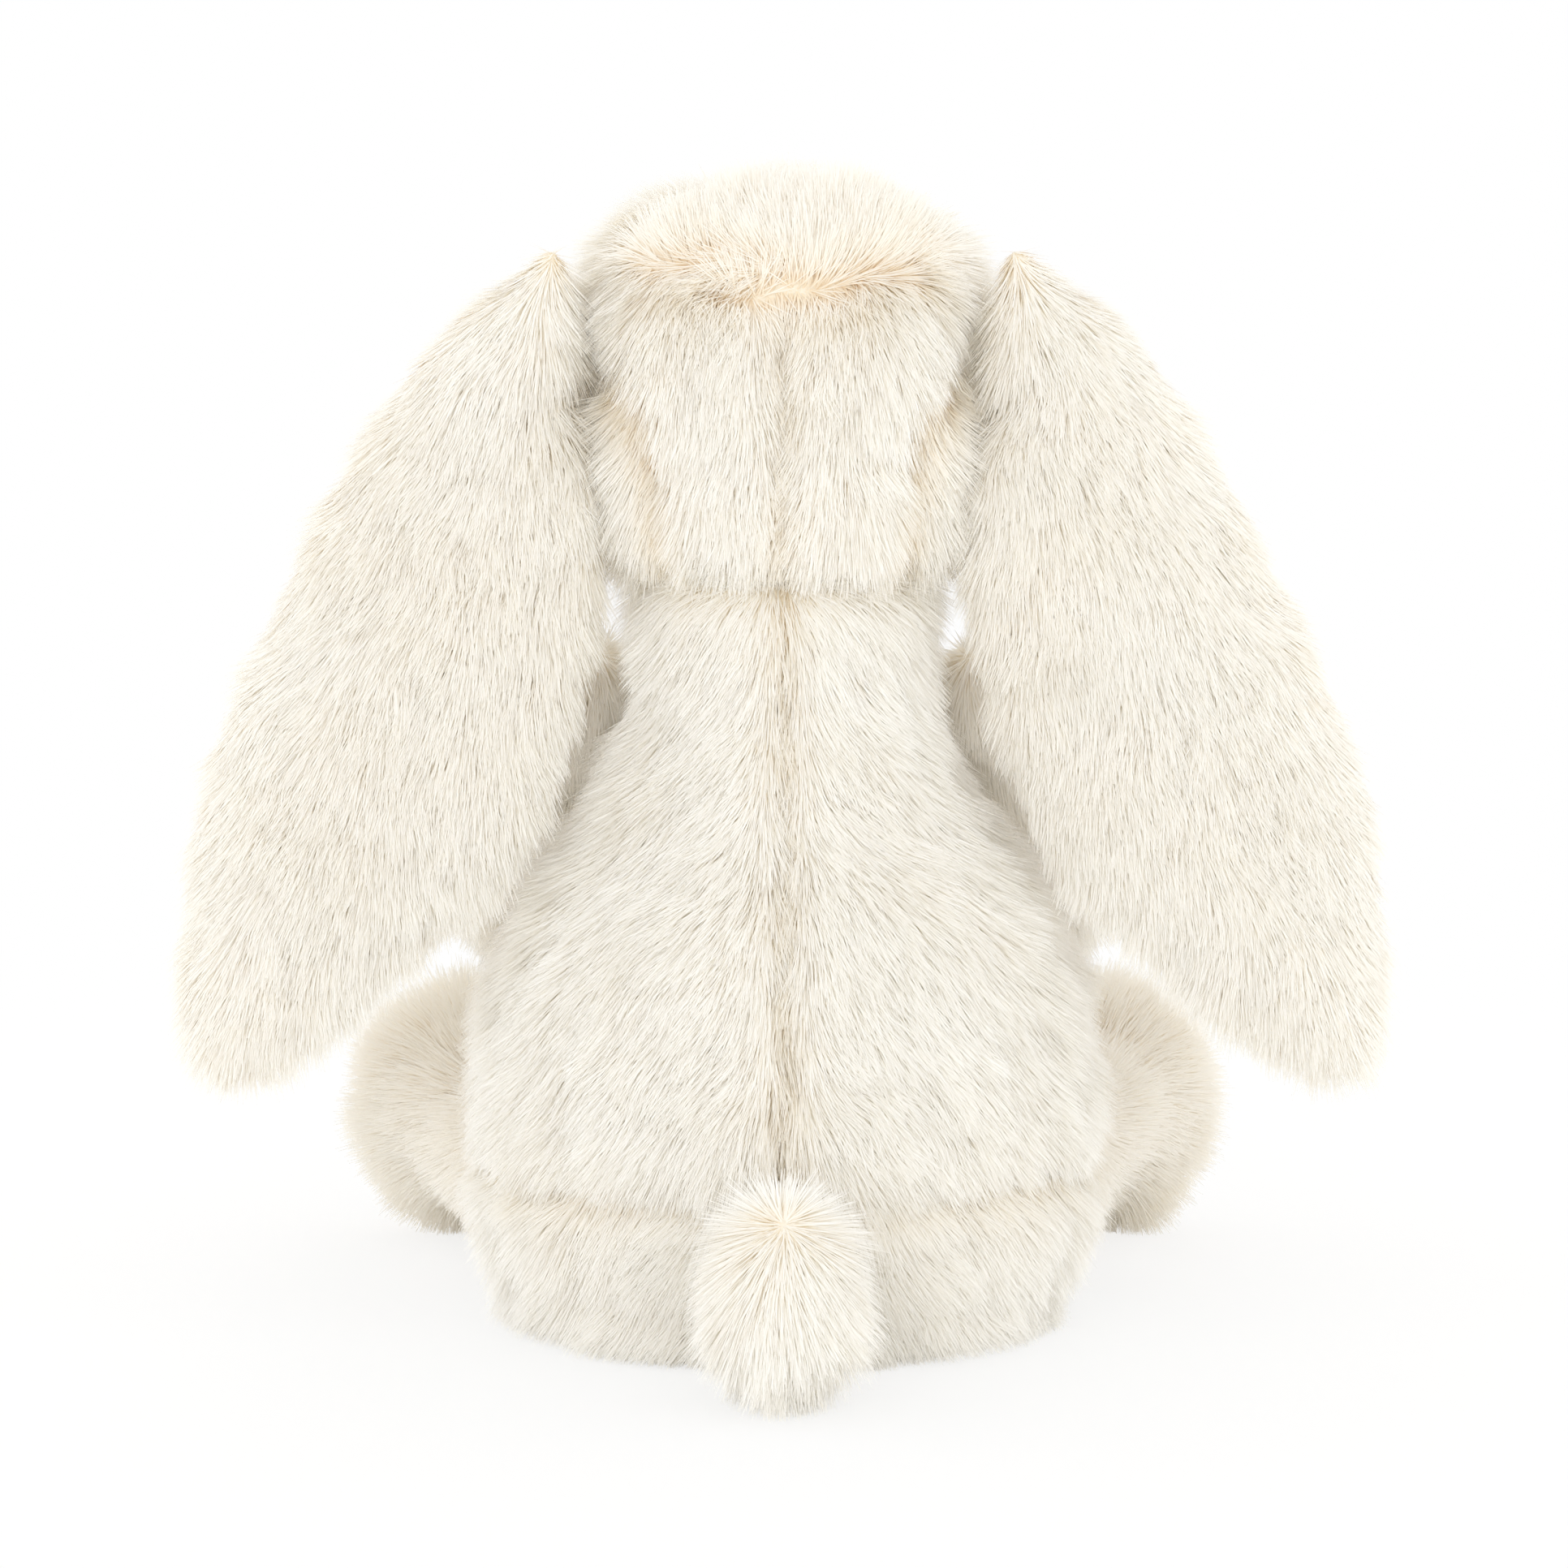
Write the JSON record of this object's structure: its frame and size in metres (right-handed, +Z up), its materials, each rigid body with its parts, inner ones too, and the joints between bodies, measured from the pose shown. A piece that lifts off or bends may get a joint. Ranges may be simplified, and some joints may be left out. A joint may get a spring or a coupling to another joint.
{
  "type": "plush rabbit",
  "caption": "sitting lop-eared plush rabbit with long hanging ears, pear-shaped body, curled arms, large upturned feet and a pom tail, covered in cream long-pile fur",
  "frame": {"origin": "middle of the flat underside of the seat, on the surface that the toy rests on", "axes": "-Y is the way the toy faces, +X is its left side, +Z is up"},
  "size_m": [0.2176, 0.1867, 0.2198],
  "materials": {
    "plush_cream": "cream long-pile plush",
    "plush_lining": "cream long-pile plush, front of the ears",
    "plush_sole": "cream short-pile plush, soles",
    "fibre_fill": "white polyester fibre",
    "pouch_cloth": "plain woven cloth",
    "pellets": "plastic beads in a bag",
    "eye_plastic": "polished near-black plastic",
    "washer_plastic": "natural plastic",
    "nose_thread": "satin-stitched dusty pink thread",
    "mouth_thread": "dusty pink thread"
  },
  "bodies": {
    "torso": {"torso_back_left": "plush_cream", "torso_back_right": "plush_cream", "torso_belly": "plush_cream", "torso_seat": "plush_cream", "torso_stuffing": "fibre_fill", "bean_pouch": "pouch_cloth", "bean_pellets": "pellets"},
    "neck": {"neck_stuffing": "fibre_fill"},
    "head": {"head_back_left": "plush_cream", "head_back_right": "plush_cream", "head_cheek_left": "plush_cream", "head_cheek_right": "plush_cream", "head_face": "plush_cream", "head_stuffing": "fibre_fill", "eye_left": "eye_plastic", "eye_right": "eye_plastic", "eye_washer_left": "washer_plastic", "eye_washer_right": "washer_plastic", "nose": "nose_thread", "mouth": "mouth_thread"},
    "tail": {"tail_half_left": "plush_cream", "tail_half_right": "plush_cream", "tail_stuffing": "fibre_fill"},
    "ear_left": {"ear_back_left": "plush_cream", "ear_lining_left": "plush_lining", "ear_root_left": "plush_cream", "ear_wadding_left": "fibre_fill"},
    "arm_left": {"arm_outer_left": "plush_cream", "arm_inner_left": "plush_cream", "arm_stuffing_left": "fibre_fill"},
    "leg_left": {"leg_outer_left": "plush_cream", "leg_inner_left": "plush_cream", "foot_sole_left": "plush_sole", "leg_stuffing_left": "fibre_fill"},
    "ear_right": {"ear_back_right": "plush_cream", "ear_lining_right": "plush_lining", "ear_root_right": "plush_cream", "ear_wadding_right": "fibre_fill"},
    "arm_right": {"arm_outer_right": "plush_cream", "arm_inner_right": "plush_cream", "arm_stuffing_right": "fibre_fill"},
    "leg_right": {"leg_outer_right": "plush_cream", "leg_inner_right": "plush_cream", "foot_sole_right": "plush_sole", "leg_stuffing_right": "fibre_fill"}
  },
  "joints": [
    {"name": "neck_turn", "type": "hinge", "parent": "torso", "child": "neck", "pos_m": [0, 0, 0.146], "axis": [0, 0, 1], "range_deg": [-7, 7], "stiffness_Nm_per_rad": 0.5},
    {"name": "head_nod", "type": "hinge", "parent": "neck", "child": "head", "pos_m": [0, 0, 0.146], "axis": [1, 0, 0], "range_deg": [-3, 15], "stiffness_Nm_per_rad": 0.6},
    {"name": "tail_wag", "type": "hinge", "parent": "torso", "child": "tail", "pos_m": [0, 0.0511, 0.022], "axis": [0, 0, 1], "range_deg": [-28, 28], "stiffness_Nm_per_rad": 0.05},
    {"name": "ear_lift_left", "type": "hinge", "parent": "head", "child": "ear_left", "pos_m": [0.03956, 0.008, 0.1895], "axis": [0, -1, 0], "range_deg": [0, 85]},
    {"name": "arm_swing_left", "type": "hinge", "parent": "torso", "child": "arm_left", "pos_m": [0.03563, -0.01556, 0.1195], "axis": [-1, 0, 0], "range_deg": [0, 65], "stiffness_Nm_per_rad": 0.12},
    {"name": "leg_swing_left", "type": "hinge", "parent": "torso", "child": "leg_left", "pos_m": [0.0453, -0.03938, 0.021], "axis": [-0.891, -0.454, 0], "range_deg": [-25, 22], "stiffness_Nm_per_rad": 0.25},
    {"name": "ear_lift_right", "type": "hinge", "parent": "head", "child": "ear_right", "pos_m": [-0.03956, 0.008, 0.1895], "axis": [0, 1, 0], "range_deg": [0, 85]},
    {"name": "arm_swing_right", "type": "hinge", "parent": "torso", "child": "arm_right", "pos_m": [-0.03563, -0.01556, 0.1195], "axis": [-1, 0, 0], "range_deg": [0, 65], "stiffness_Nm_per_rad": 0.12},
    {"name": "leg_swing_right", "type": "hinge", "parent": "torso", "child": "leg_right", "pos_m": [-0.0453, -0.03938, 0.021], "axis": [-0.891, 0.454, 0], "range_deg": [-25, 22], "stiffness_Nm_per_rad": 0.25}
  ]
}
